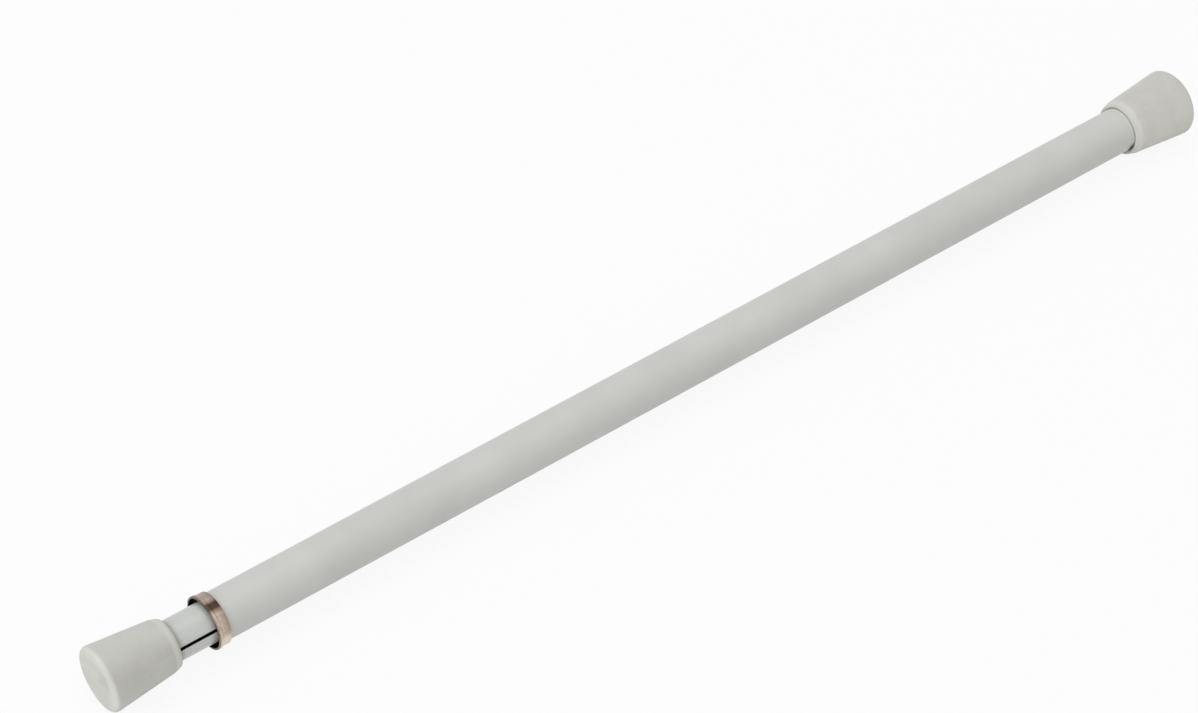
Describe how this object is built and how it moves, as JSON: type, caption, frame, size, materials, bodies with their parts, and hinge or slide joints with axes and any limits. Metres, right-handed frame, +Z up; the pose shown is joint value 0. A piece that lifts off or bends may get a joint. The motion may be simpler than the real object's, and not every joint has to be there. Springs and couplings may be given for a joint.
{
  "type": "spring tension rod",
  "caption": "Telescoping curtain rod of painted steel tubes with tapered rubber end caps, held between facing walls by an inner spring and set to length by a twist lock.",
  "frame": {"origin": "centre of the wall face of the fixed end cap", "axes": "+X along the rod, from the fixed cap to the sliding cap; +Z up when the rod hangs level between two walls; +Y to the side that the inner tube's seam faces"},
  "size_m": [0.45, 0.0244, 0.0244],
  "materials": {
    "outer_paint": "satin off-white paint",
    "inner_paint": "satin cool white paint",
    "cap_rubber": "matte off-white moulded rubber",
    "ferrule_brass": "polished, browned in its recesses",
    "spring_steel": "bright drawn wire",
    "nylon": "natural moulded nylon"
  },
  "bodies": {
    "outer": {"outer_tube": "outer_paint", "mouth_ferrule": "ferrule_brass", "fixed_end_cap": "cap_rubber"},
    "lock": {"expander_sleeve": "nylon"},
    "wedge": {"wedge_nut": "nylon"},
    "spindle": {"lock_spindle": "nylon", "tension_spring": "spring_steel"},
    "slider": {"inner_tube": "inner_paint", "spring_plug": "nylon", "sliding_end_cap": "cap_rubber"}
  },
  "joints": [
    {"name": "length_adjust", "type": "slide", "parent": "outer", "child": "lock", "axis": [1, 0, 0], "range_m": [0, 0.25]},
    {"name": "lock_twist", "type": "hinge", "parent": "lock", "child": "spindle", "pos_m": [0.0452, 0, 0], "axis": [1, 0, 0], "range_deg": [0, 360]},
    {"name": "wedge_slide", "type": "slide", "parent": "lock", "child": "wedge", "axis": [1, 0, 0], "range_m": [-0.0015, 0]},
    {"name": "spring_travel", "type": "slide", "parent": "spindle", "child": "slider", "axis": [-1, 0, 0], "range_m": [0, 0.0123], "stiffness_N_per_m": 3450, "deforming": ["tension_spring"]}
  ],
  "couplings": [
    {"joint": "wedge_slide", "follows": "lock_twist", "m_per_rad": -0.00023873}
  ]
}
